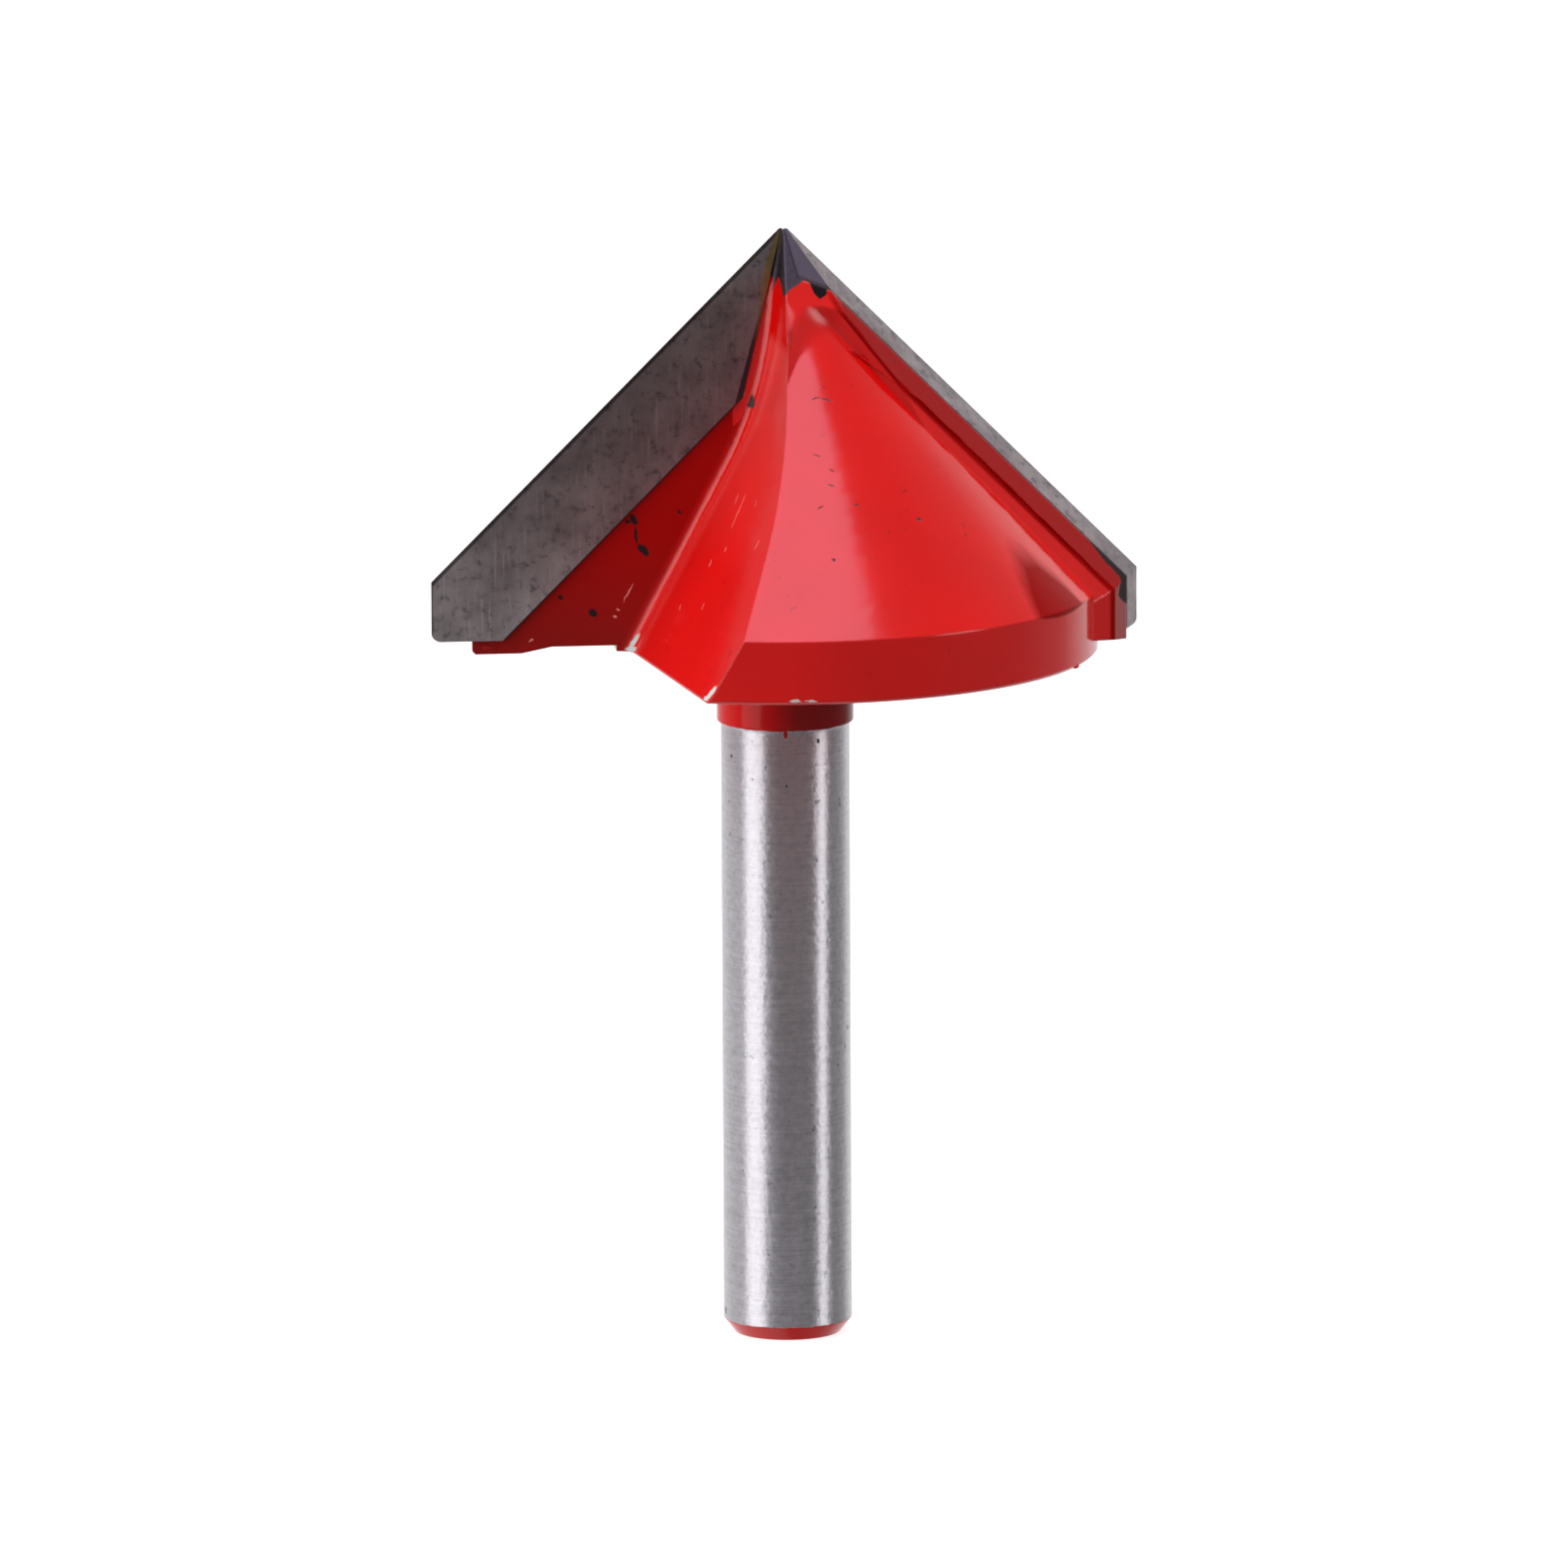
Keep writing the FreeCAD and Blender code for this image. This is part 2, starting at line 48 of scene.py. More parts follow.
# Sockets of the Mix node, which has one set of inputs for each type of data.
FACTOR, FIRST_NUMBER, SECOND_NUMBER, FIRST_COLOUR, SECOND_COLOUR = 0, 2, 3, 6, 7
MIXED_NUMBER, MIXED_COLOUR = 0, 2


def linear(hex_colour):
    """Turns an sRGB hex colour into the linear RGBA that a shader takes."""
    channels = [int(hex_colour[at:at + 2], 16) / 255 for at in (1, 3, 5)]
    return (*[c / 12.92 if c <= 0.04045 else ((c + 0.055) / 1.055) ** 2.4 for c in channels], 1.0)


def add(tree, kind, sockets=None, out=0, **settings):
    """Adds a shader node with its settings, fills or links its inputs, and returns one of its outputs."""
    node = tree.nodes.new("ShaderNode" + kind)
    for name, value in settings.items():
        setattr(node, name, value)
    for key, value in (sockets or {}).items():
        if isinstance(value, bpy.types.NodeSocket):
            tree.links.new(value, node.inputs[key])
        else:
            node.inputs[key].default_value = value
    return node.outputs[out] if node.outputs else node


def set_stops(ramp_output, stops):
    """Gives a colour ramp its stops, a list of (place from 0 to 1, grey level)."""
    elements = ramp_output.node.color_ramp.elements
    while len(elements) < len(stops):
        elements.new(0.5)
    for element, (place, grey) in zip(elements, stops):
        element.position = place
        element.color = (grey, grey, grey, 1.0)


def new_finish(name, shader_settings):
    """Makes a material with one Principled shader.

    Returns it with its tree, the shader's node and the surface point in mm."""
    material = bpy.data.materials.new(name)
    material.use_nodes = True
    tree = material.node_tree
    tree.nodes.clear()
    shader = add(tree, "BsdfPrincipled", shader_settings)
    add(tree, "OutputMaterial", {"Surface": shader})
    metres = add(tree, "TexCoord", out="Object")
    point = add(tree, "VectorMath", {0: metres, "Scale": 1 / MM}, operation="SCALE")
    return material, tree, shader.node, point


def ragged(tree, point, grain_mm, depth_mm):
    """Shifts the surface point by noise, so that a mark drawn from it gets an irregular edge."""
    drift = add(tree, "TexNoise", {"Vector": point, "Scale": 1 / grain_mm, "Detail": 3.0}, out="Color")
    centred = add(tree, "VectorMath", {0: drift, 1: (0.5, 0.5, 0.5)}, operation="SUBTRACT")
    scaled = add(tree, "VectorMath", {0: centred, "Scale": 2 * depth_mm}, operation="SCALE")
    return add(tree, "VectorMath", {0: point, 1: scaled}, operation="ADD")


def streak(tree, point, start, end, width, facing=None, reach=0.3, blur=0.3):
    """A mask of one mark from start to end, in mm: a flat ellipsoid that stands on the surface.

    facing is the surface's direction, and points away from the axis where none is given."""
    start, end = Vector(start), Vector(end)
    along = end - start
    middle = (start + end) / 2
    out = Vector(facing) if facing else Vector((middle.x, middle.y, 0.0))
    along_axis = along.normalized() if along.length else out.orthogonal().normalized()
    out = (out - along_axis * out.dot(along_axis)).normalized()
    turn = Matrix((along_axis, out.cross(along_axis), out)).transposed().to_euler()
    sizes = (along.length / 2 + width / 2, width / 2, reach)
    local = add(
        tree, "Mapping", {"Vector": point, "Location": middle, "Rotation": turn, "Scale": sizes}, vector_type="TEXTURE")
    away = add(tree, "VectorMath", {0: local}, out="Value", operation="LENGTH")
    return add(tree, "MapRange", {"Value": away, "From Min": 1.0, "From Max": 1.0 - blur})


def limit_line(tree, value, low, high, stops):
    """A line through (value, height) stops in mm, as a colour ramp between the heights low and high."""
    first, last = stops[0][0], stops[-1][0]
    place = add(tree, "MapRange", {"Value": value, "From Min": first, "From Max": last})
    ramp = add(tree, "ValToRGB", {"Fac": place})
    set_stops(ramp, [((at - first) / (last - first), (height - low) / (high - low)) for at, height in stops])
    return add(tree, "MapRange", {"Value": ramp, "To Min": low, "To Max": high})


def beyond(tree, value, limit, softness):
    """A mask that rises from 0 to 1 where value passes limit, over the given softness in mm."""
    excess = add(tree, "Math", {0: value, 1: limit}, operation="SUBTRACT")
    return add(tree, "MapRange", {"Value": excess, "From Min": -softness / 2, "From Max": softness / 2})


def half_sign(tree, value):
    """1 where value is below zero, the front half, and -1 on the back half."""
    in_front = add(tree, "Math", {0: value, 1: 0.0}, operation="LESS_THAN")
    return add(tree, "Math", {0: in_front, 1: 2.0, 2: -1.0}, operation="MULTIPLY_ADD")


def on_plane(tree, point, facing, distance):
    """A mask of the points within 0.15 mm of a plane that faces a direction at a distance from the origin, in mm."""
    facing = Vector(facing)
    height = add(tree, "VectorMath", {0: point, 1: facing / facing.length}, out="Value", operation="DOT_PRODUCT")
    off = add(tree, "Math", {0: height, 1: distance / facing.length}, operation="SUBTRACT")
    return beyond(tree, 0.15, add(tree, "Math", {0: off}, operation="ABSOLUTE"), 0.08)


def both(tree, first, second):
    """The overlap of two masks, or a value times a mask or a sign."""
    return add(tree, "Math", {0: first, 1: second}, operation="MULTIPLY")


def blend(tree, factor, first, second):
    """Blends two colours. Each is a socket or a linear RGBA colour."""
    return add(
        tree, "Mix", {FACTOR: factor, FIRST_COLOUR: first, SECOND_COLOUR: second}, out=MIXED_COLOUR, data_type="RGBA")


def tinted(colour, gain):
    """A colour made lighter or darker."""
    return (*[c * gain for c in colour[:3]], 1.0)


def together(tree, masks):
    """The strongest of several masks at each point."""
    total = masks[0]
    for mask in masks[1:]:
        total = add(tree, "Math", {0: total, 1: mask}, operation="MAXIMUM")
    return total


def dress(node, material):
    """Puts a finish into every material slot of a CAD node."""
    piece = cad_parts[node]
    for slot in piece.material_slots:
        slot.material = material
    return piece


class BitLacquerSettings(bpy.types.PropertyGroup):
    """The lacquer over the head and neck."""
    colour: bpy.props.FloatVectorProperty(
        name="Lacquer", description="Colour of the lacquer", subtype="COLOR", size=4,
        min=0.0, max=1.0, default=linear("#dc0c09"),
    )
    roughness: bpy.props.FloatProperty(
        name="Roughness", description="Roughness of the lacquer's surface",
        min=0.0, max=1.0, default=0.13, subtype="FACTOR",
    )
    upper_edge: bpy.props.FloatProperty(
        name="Upper Edge", description="Height at which the lacquer of the neck ends above the bare shank",
        default=30.74 * MM, subtype="DISTANCE", unit="LENGTH",
    )
    lower_edge: bpy.props.FloatProperty(
        name="Lower Edge", description="Height up to which lacquer covers the chamfer on the shank's end",
        default=0.72 * MM, subtype="DISTANCE", unit="LENGTH",
    )
    edge_softness: bpy.props.FloatProperty(
        name="Edge Softness", description="Width of the rounding that the lacquer gives to the steel's edges",
        default=0.14 * MM, subtype="DISTANCE", unit="LENGTH",
    )
    hollow_softness: bpy.props.FloatProperty(
        name="Hollow Softness", description="Width of the rounding in the ground hollow beside the tip",
        default=0.8 * MM, subtype="DISTANCE", unit="LENGTH",
    )


class BitMetalSettings(bpy.types.PropertyGroup):
    """The bare metals: ground shank, carbide and brazing filler."""
    shank: bpy.props.FloatVectorProperty(
        name="Shank", description="Colour of the ground steel", subtype="COLOR", size=4,
        min=0.0, max=1.0, default=linear("#d8d4da"),
    )
    carbide: bpy.props.FloatVectorProperty(
        name="Carbide", description="Colour of the ground carbide", subtype="COLOR", size=4,
        min=0.0, max=1.0, default=linear("#8b8082"),
    )
    filler: bpy.props.FloatVectorProperty(
        name="Filler", description="Colour of the solidified brazing filler", subtype="COLOR", size=4,
        min=0.0, max=1.0, default=linear("#c9a878"),
    )


class BitStudioSettings(bpy.types.PropertyGroup):
    """The camera, the lamps and the floor."""
    camera_turn: bpy.props.FloatProperty(
        name="Camera Turn", description="Turn of the camera to the left of the front",
        default=math.radians(5.856), subtype="ANGLE", unit="ROTATION",
    )
    camera_lift: bpy.props.FloatProperty(
        name="Camera Lift", description="Angle by which the camera looks down",
        default=math.radians(10.77), subtype="ANGLE", unit="ROTATION",
    )
    camera_roll: bpy.props.FloatProperty(
        name="Camera Roll", description="Roll of the camera about its own axis",
        default=math.radians(-0.273), subtype="ANGLE", unit="ROTATION",
    )
    camera_distance: bpy.props.FloatProperty(
        name="Camera Distance", description="Distance from the lens to the middle of the bit",
        default=1.0, min=0.1, subtype="DISTANCE", unit="LENGTH",
    )
    floor_size: bpy.props.FloatProperty(
        name="Floor Size", description="Side of the square floor",
        default=6.0, min=1.0, subtype="DISTANCE", unit="LENGTH",
    )


# The photograph's camera: lens and sensor width in mm, and the point that it is aimed at, in mm.
LENS_MM = 465.45
SENSOR_MM = 36.0
AIM_MM = (-0.073, 0.0, 27.497)

# Lamps beside the bit: name, angle from the camera in degrees, reach, height, width and tallness in metres, radiance.
SIDE_LAMPS = (
    ("left_softbox", -60, 0.6, 0.12, 0.42, 0.75, 1.85),
    ("right_softbox", 68, 0.6, 0.155, 0.19, 0.27, 5.3),
)
TOP_LAMP_COLOUR = (0.86, 0.8, 1.0)

# Brightness of the room by the angle from the camera in degrees, minus to the left.
ROOM_LEVELS = (
    (-180, 1.0), (-150, 0.8), (-125, 0.8), (-95, 0.7), (-70, 0.5), (-40, 0.3), (-20, 0.2),
    (20, 0.2), (50, 0.2), (95, 0.27), (125, 0.42), (155, 0.95), (180, 1.0),
)

# Colours of marks and bare places, and of painted shade and painted reflection.
FLOOR_FOOT_RED = linear("#8e221f")
WALL_PAINTED_REFLECTION = linear("#e8403c")
NECK_PAINTED_SHADE = linear("#4e191b")
NICK_RED = linear("#5c0d0c")
SCRATCH_PINK = linear("#f2a09a")
CHIP_GREY = linear("#c9d0c8")
SPECK_GREY = linear("#5a5660")
SLATE_DARK, SLATE_LIGHT = linear("#39343b"), linear("#57505a")
BURNT_FLUX = linear("#2e2628")
PATCH_SHADE_BLACK = linear("#1d1a1b")
BARE_STRIP_BROWN = linear("#2c2523")
SOOT_BLACK = linear("#2a1d1d")
EDGE_BLACK = linear("#1e1a1b")
FACET_SLATE = linear("#5a535d")
FILLER_PAINTED_SHADE = linear("#4d4146")

# Where the lacquer ends at the tip, as (place, height) in mm: across the core's wall by Y, and the facet by X.
TIP_LINE_ON_WALL = ((-2.75, 52.3), (-2.3, 52.1), (-1.4, 52.6), (-0.3, 52.9), (-0.05, 52.5), (0.1, 51.9), (0.3, 51.9))
TIP_LINE_ON_FACET = (
    (-0.2, 52.32), (0.06, 52.6), (0.43, 52.75), (0.95, 53.05), (1.15, 52.7), (1.3, 52.35),
    (1.55, 52.1), (1.9, 52.25), (2.06, 52.9), (2.5, 53.9),
)
# The edge of the unpainted strip on the relief, as (height, Y) in mm.
BARE_STRIP_LINE = (
    (36.4, -1.7), (36.7, -2.4), (37.1, -3.1), (37.5, -2.95), (38.0, -2.35), (38.6, -2.35),
    (39.3, -2.1), (40.2, -1.75), (40.4, -1.0),
)
# The two planes of the relief behind the right blade, as (direction, distance from the origin in mm).
RELIEF_PLANES = (((0.64, -0.42, 0.64), 35.74), ((0.908, -0.419, 0.0), 15.99))
# Brightness of the carbide's rake face, and width of the filler smeared over it in mm, both by height in mm.
RAKE_LEVELS = ((34.4, 2.0), (37.0, 1.8), (40.0, 1.3), (44.0, 0.88), (48.0, 0.78), (51.0, 0.9), (55.3, 1.4))
SMEAR_WIDTHS = ((51.0, 0.0), (51.8, 0.12), (52.6, 0.28), (53.4, 0.4), (54.6, 0.42), (55.3, 0.3))

# Marks on the front half in mm, as (start, end, width). The back half repeats them, half a turn round.
GULLET_FLOOR = (0.0, -1.0, 0.0)
GULLET_WALL = (-0.88, -0.14, 0.45)
CONE = 42.0  # stands for a mark's own direction on the cone, and is the cone's lean in degrees
DARK_CHIPS_ON_FLOOR = (
    ((-7.5, 0.25, 41.0), (-7.35, 0.25, 40.7), 0.38),
    ((-7.35, 0.25, 40.5), (-7.25, 0.25, 39.7), 0.17),
    ((-7.1, 0.25, 39.5), (-6.8, 0.25, 39.15), 0.42),
    ((-7.75, 0.25, 40.8), (-7.7, 0.25, 40.75), 0.2),
    ((-11.1, 0.25, 37.1), (-11.0, 0.25, 37.05), 0.22),
    ((-9.5, 0.25, 36.3), (-9.4, 0.25, 36.2), 0.4),
    ((-5.15, 0.25, 41.25), (-5.1, 0.25, 41.15), 0.2),
    ((-2.2, 0.25, 46.75), (-1.95, 0.2, 46.5), 0.5),
    ((-1.65, 0.1, 46.9), (-1.55, 0.1, 46.45), 0.5),
)
PALE_SCRATCHES_ON_FLOOR = (
    ((-7.95, 0.25, 36.75), (-7.45, 0.25, 37.7), 0.1),
    ((-8.25, 0.25, 36.4), (-8.2, 0.25, 36.35), 0.14),
    ((-8.4, 0.25, 36.05), (-8.35, 0.25, 36.0), 0.14),
    ((-12.6, 0.25, 34.9), (-12.45, 0.25, 35.0), 0.12),
)
PALE_SCRATCHES_ON_WALL = (
    ((-2.3, -4.4, 42.95), (-3.2, -4.95, 41.1), 0.09),
    ((-2.2, -9.7, 41.5), (-2.5, -9.75, 41.0), 0.08),
    ((-4.05, -4.45, 39.6), (-4.2, -4.6, 39.3), 0.1),
    ((-2.6, -3.4, 42.7), (-2.85, -3.6, 42.15), 0.07),
    ((-3.4, -5.6, 40.45), (-3.5, -5.7, 40.2), 0.1),
    ((-4.6, -6.6, 37.8), (-4.7, -6.7, 37.55), 0.09),
    ((-2.0, -6.5, 42.9), (-2.15, -6.6, 42.6), 0.07),
    ((-5.4, -3.4, 37.2), (-5.5, -3.6, 36.95), 0.09),
)
BARE_CHIPS_ON_UNDERSIDE = (
    ((-7.55, 0.2, 34.5), (-7.2, 0.1, 35.05), 0.42),
    ((-7.75, 0.2, 34.4), (-7.1, -0.2, 34.5), 0.35),
    ((-5.2, -13.9, 34.5), (-4.85, -14.4, 35.05), 0.4),
    ((-5.4, -13.6, 34.45), (-4.45, -14.5, 34.42), 0.3),
)
BARE_CHIPS_ON_BAND = (
    ((-1.35, -15.35, 34.52), (-0.8, -15.4, 34.5), 0.14),
    ((-0.6, -15.4, 34.52), (-0.05, -15.43, 34.5), 0.12),
)
DARK_MARKS_ON_CONE = (
    ((0.75, -6.0, 47.7), (1.15, -5.9, 47.8), 0.09),
    ((1.15, -5.9, 47.8), (1.8, -5.9, 47.6), 0.1),
    ((0.65, -8.15, 45.35), (0.95, -8.2, 45.3), 0.09),
    ((1.4, -8.7, 44.7), (1.5, -8.75, 44.6), 0.12),
    ((1.2, -9.3, 44.1), (1.5, -9.35, 44.0), 0.09),
    ((2.5, -9.9, 43.15), (2.6, -9.85, 43.1), 0.14),
    ((0.6, -10.3, 43.1), (0.9, -10.2, 43.2), 0.09),
    ((1.1, -12.2, 40.85), (1.2, -12.2, 40.8), 0.14),
    ((5.6, -9.45, 42.3), (5.7, -9.4, 42.25), 0.25),
    ((13.3, -7.7, 37.75), (13.45, -7.5, 37.8), 0.16),
)


def lacquered_steel(lacquer, metals):
    """Gloss lacquer sprayed over turned and milled steel, left bare on the ground shank and at the ground tip.

    The lacquer gives a deep, even red with soft mirror images and a faint orange peel. It is chipped at some edges
    and marked on the cone and in the gullet. The bare shank is satin, with its reflections drawn out along the
    axis by the rings of the grinding wheel."""
    material, tree, shader, point = new_finish(
        "gloss_lacquer_over_ground_steel", {"IOR": 1.5, "Anisotropic Rotation": 0.25},
    )
    x, y, z = [add(tree, "SeparateXYZ", {0: point}, out=axis) for axis in "XYZ"]
    # The back half is the front half turned round by half a turn. The halves meet in a plane that leans 0.1 to 1.
    lean = add(tree, "Math", {0: x, 1: 0.1, 2: y}, operation="MULTIPLY_ADD")
    side = half_sign(tree, lean)
    front_x, front_y = both(tree, x, side), both(tree, y, side)
    front = add(tree, "CombineXYZ", {"X": front_x, "Y": front_y, "Z": z})
    torn_front = ragged(tree, front, 0.3, 0.11)
    torn = ragged(tree, point, 0.5, 0.07)
    torn_height = add(tree, "SeparateXYZ", {0: torn}, out="Z")

    def marks(group, facing=None, **options):
        masks = []
        for start, end, width in group:
            out = facing
            if facing is CONE:
                radial = Vector((start[0], start[1], 0.0)).normalized()
                out = radial * math.cos(math.radians(CONE)) + Vector((0.0, 0.0, math.sin(math.radians(CONE))))
            masks.append(streak(tree, torn_front, start, end, width, out, **options))
        return together(tree, masks)

    # Lacquer covers the neck and the end chamfer, with one small run; the rest of the shank is bare.
    above = beyond(tree, torn_height, lacquer.lower_edge / MM, 0.04)
    under_neck = beyond(tree, lacquer.upper_edge / MM, torn_height, 0.04)
    run = streak(tree, point, (-0.31, -3.16, 30.8), (-0.31, -3.16, 30.4), 0.26)
    no_run = add(tree, "Math", {0: 1.0, 1: run}, operation="SUBTRACT")
    shank = both(tree, both(tree, above, under_neck), no_run)

    # The tip was ground after spraying. The lacquer ends in a zigzag, on the core's wall and on the facet beside it.
    wall_line = limit_line(tree, front_y, 51.0, 54.0, TIP_LINE_ON_WALL)
    facet_line = limit_line(tree, front_x, 51.0, 54.0, TIP_LINE_ON_FACET)
    on_core_wall = beyond(tree, -0.2, front_x, 0.03)
    edge_height = add(
        tree, "Mix", {FACTOR: on_core_wall, FIRST_NUMBER: facet_line, SECOND_NUMBER: wall_line}, out=MIXED_NUMBER)
    tip = beyond(tree, z, edge_height, 0.06)

    # Beside the right blade's lower end the lacquer missed a strip of the relief.
    strip_line = limit_line(tree, z, -4.0, -1.0, BARE_STRIP_LINE)
    torn_y = add(tree, "SeparateXYZ", {0: torn_front}, out="Y")
    strip = both(tree, beyond(tree, torn_y, strip_line, 0.08), beyond(tree, front_x, 14.2, 0.05))

    chips = together(tree, [
        marks(BARE_CHIPS_ON_UNDERSIDE, (-0.5, -0.8, 0.0), reach=0.4), marks(BARE_CHIPS_ON_BAND)])
    soot = together(tree, [
        marks(DARK_CHIPS_ON_FLOOR, GULLET_FLOOR), marks(DARK_MARKS_ON_CONE, CONE),
        streak(tree, point, (1.33, -2.88, 30.22), (1.33, -2.88, 30.1), 0.16),
        streak(tree, point, (-2.81, -1.47, 29.3), (-2.81, -1.47, 29.2), 0.14),
        streak(tree, point, (-0.27, -3.16, 28.0), (-0.27, -3.16, 27.95), 0.12),
        streak(tree, point, (-3.12, -0.4, 1.25), (-3.12, -0.4, 1.0), 0.25)])
    scratches = together(tree, [
        marks(PALE_SCRATCHES_ON_FLOOR, GULLET_FLOOR), marks(PALE_SCRATCHES_ON_WALL, GULLET_WALL)])

    # Small dark nicks scattered over the lacquer, from noise with a grain of 0.28 mm.
    stretched = add(tree, "VectorMath", {0: point, 1: (1.0, 1.0, 0.35)}, operation="MULTIPLY")
    nick_noise = add(tree, "TexNoise", {"Vector": stretched, "Scale": 1 / 0.28, "Detail": 2.0})
    nick_place = add(tree, "TexNoise", {"Vector": point, "Scale": 1 / 2.2, "Detail": 1.0})
    nicks = both(tree, beyond(tree, nick_noise, 0.7, 0.06), beyond(tree, nick_place, 0.54, 0.08))

    # The colour changes a little with the thickness of the film, over about 4 mm.
    film = add(tree, "TexNoise", {"Vector": point, "Scale": 1 / 4.0, "Detail": 2.0})
    red = blend(tree, film, tinted(lacquer.colour, 0.88), tinted(lacquer.colour, 1.1))
    # From here to the neck, shading that the photograph shows and the lamps don't give is painted in.
    # The gullet floor is darker, a painted shade that is a little paler toward its foot.
    floor_painted_shade = both(tree, beyond(tree, front_y, 0.16, 0.2), beyond(tree, -1.2, front_x, 0.8))
    red = blend(tree, floor_painted_shade, red, tinted(lacquer.colour, 0.5))
    toward_foot = add(tree, "MapRange", {"Value": z, "From Min": 40.0, "From Max": 35.0, "To Max": 0.6})
    red = blend(tree, both(tree, floor_painted_shade, toward_foot), red, FLOOR_FOOT_RED)
    # The gullet's wall pales toward the tip, a painted reflection, and is told from the cone by the way that it faces.
    faces = add(tree, "SeparateXYZ", {0: add(tree, "NewGeometry", out="Normal")}, out="X")
    on_gullet_wall = both(tree, beyond(tree, -0.8, both(tree, faces, side), 0.06), beyond(tree, 49.9, z, 0.5))
    toward_tip = add(tree, "MapRange", {"Value": z, "From Min": 39.5, "From Max": 49.0, "To Min": 0.08})
    red = blend(tree, both(tree, on_gullet_wall, toward_tip), red, WALL_PAINTED_REFLECTION)
    # The relief behind the right blade is darker, a painted shade, and duller.
    relief_planes = together(tree, [on_plane(tree, front, facing, distance) for facing, distance in RELIEF_PLANES])
    relief_face = both(tree, relief_planes, beyond(tree, front_x, 2.0, 1.5))
    red = blend(tree, relief_face, red, tinted(lacquer.colour, 0.45))
    # The neck darkens to brown from left to right, a painted shade. This isn't repeated by the half turn.
    on_neck = both(tree, beyond(tree, z, 30.0, 0.1), beyond(tree, 34.2, z, 0.1))
    away = add(tree, "MapRange", {"Value": x, "From Min": -2.5, "From Max": 0.2, "To Max": 0.75})
    red = blend(tree, both(tree, on_neck, away), red, NECK_PAINTED_SHADE)
    red = blend(tree, add(tree, "Math", {0: nicks, 1: 0.5}, operation="MULTIPLY"), red, NICK_RED)
    red = blend(tree, add(tree, "Math", {0: scratches, 1: 0.75}, operation="MULTIPLY"), red, SCRATCH_PINK)
    red = blend(tree, chips, red, CHIP_GREY)

    # Grinding leaves rings about 0.02 mm apart, drawn at 0.12 mm so that they show, and speckles where they tear.
    rings_place = add(tree, "VectorMath", {0: point, 1: (1 / 2.5, 1 / 2.5, 1 / 0.12)}, operation="MULTIPLY")
    rings = add(tree, "TexNoise", {"Vector": rings_place, "Scale": 1.0, "Detail": 3.0})
    speckles = add(tree, "TexNoise", {"Vector": point, "Scale": 1 / 0.3, "Detail": 4.0, "Roughness": 0.65})
    mottle = add(tree, "Mix", {FACTOR: 0.6, FIRST_NUMBER: rings, SECOND_NUMBER: speckles}, out=MIXED_NUMBER)
    steel = blend(tree, add(tree, "MapRange", {"Value": mottle, "From Min": 0.36, "From Max": 0.64}),
                  tinted(metals.shank, 0.74), tinted(metals.shank, 1.16))
    specks = add(tree, "TexNoise", {"Vector": point, "Scale": 1 / 0.45, "Detail": 2.0})
    pitted = add(tree, "MapRange", {"Value": specks, "From Min": 0.68, "From Max": 0.76, "To Max": 0.7})
    steel = blend(tree, pitted, steel, SPECK_GREY)

    # The ground tip is dark slate, with brass-coloured filler along the blade and a black patch beside the facet. The
    # slate and the black are painted shade on the bare metal.
    # The brass doesn't show at present: on_gullet_wall is zero at the tip. on_core_wall would show it.
    slate = blend(tree, speckles, SLATE_DARK, SLATE_LIGHT)
    near_blade = beyond(tree, front_y, -0.5, 0.1)
    brass = blend(tree, near_blade, BURNT_FLUX, tinted(metals.filler, 0.9))
    ground_tip = blend(tree, on_gullet_wall, slate, brass)
    black_patch_shade = both(tree, beyond(tree, front_x, 1.15, 0.06), beyond(tree, 53.2, z, 0.1))
    ground_tip = blend(tree, black_patch_shade, ground_tip, PATCH_SHADE_BLACK)

    colour = blend(tree, shank, red, steel)
    colour = blend(tree, tip, colour, ground_tip)
    colour = blend(tree, strip, colour, BARE_STRIP_BROWN)
    colour = blend(tree, soot, colour, SOOT_BLACK)

    bare = together(tree, [shank, tip])
    dull = together(tree, [soot, strip, chips])
    not_dull = add(tree, "Math", {0: 1.0, 1: dull}, operation="SUBTRACT")
    metallic = both(tree, bare, not_dull)
    steel_roughness = add(
        tree, "MapRange", {"Value": mottle, "From Min": 0.35, "From Max": 0.65, "To Min": 0.36, "To Max": 0.48})
    roughness = add(tree, "Mix", {
        FACTOR: bare, FIRST_NUMBER: lacquer.roughness, SECOND_NUMBER: steel_roughness}, out=MIXED_NUMBER)
    roughness = add(tree, "Mix", {FACTOR: dull, FIRST_NUMBER: roughness, SECOND_NUMBER: 0.6}, out=MIXED_NUMBER)

    # The film rounds every edge of the steel, and fills the ground hollow beside the tip with one soft curve.
    in_hollow = streak(tree, front, (0.2, -3.7, 50.9), (2.6, -3.2, 50.3), 3.2, (0.4, -0.75, 0.5), reach=1.4, blur=0.4)
    rounding = add(tree, "MapRange", {
        "Value": in_hollow, "To Min": lacquer.edge_softness, "To Max": lacquer.hollow_softness})
    rounded = add(tree, "Bevel", {"Radius": rounding}, samples=6)
    # Orange peel about 0.9 mm across under the gloss, and the torn grinding rings on the bare steel.
    peel = add(tree, "TexNoise", {"Vector": point, "Scale": 1 / 0.9, "Detail": 1.0})
    relief = add(tree, "Mix", {FACTOR: shank, FIRST_NUMBER: peel, SECOND_NUMBER: mottle}, out=MIXED_NUMBER)
    marked = add(tree, "Math", {0: soot, 1: -1.5, 2: relief}, operation="MULTIPLY_ADD")
    depth = add(tree, "MapRange", {"Value": shank, "To Min": 0.25, "To Max": 1.0})
    bumped = add(tree, "Bump", {"Height": marked, "Strength": depth, "Distance": 0.03 * MM, "Normal": rounded})

    tree.links.new(colour, shader.inputs["Base Color"])
    tree.links.new(metallic, shader.inputs["Metallic"])
    tree.links.new(roughness, shader.inputs["Roughness"])
    tree.links.new(shank, shader.inputs["Anisotropic"])
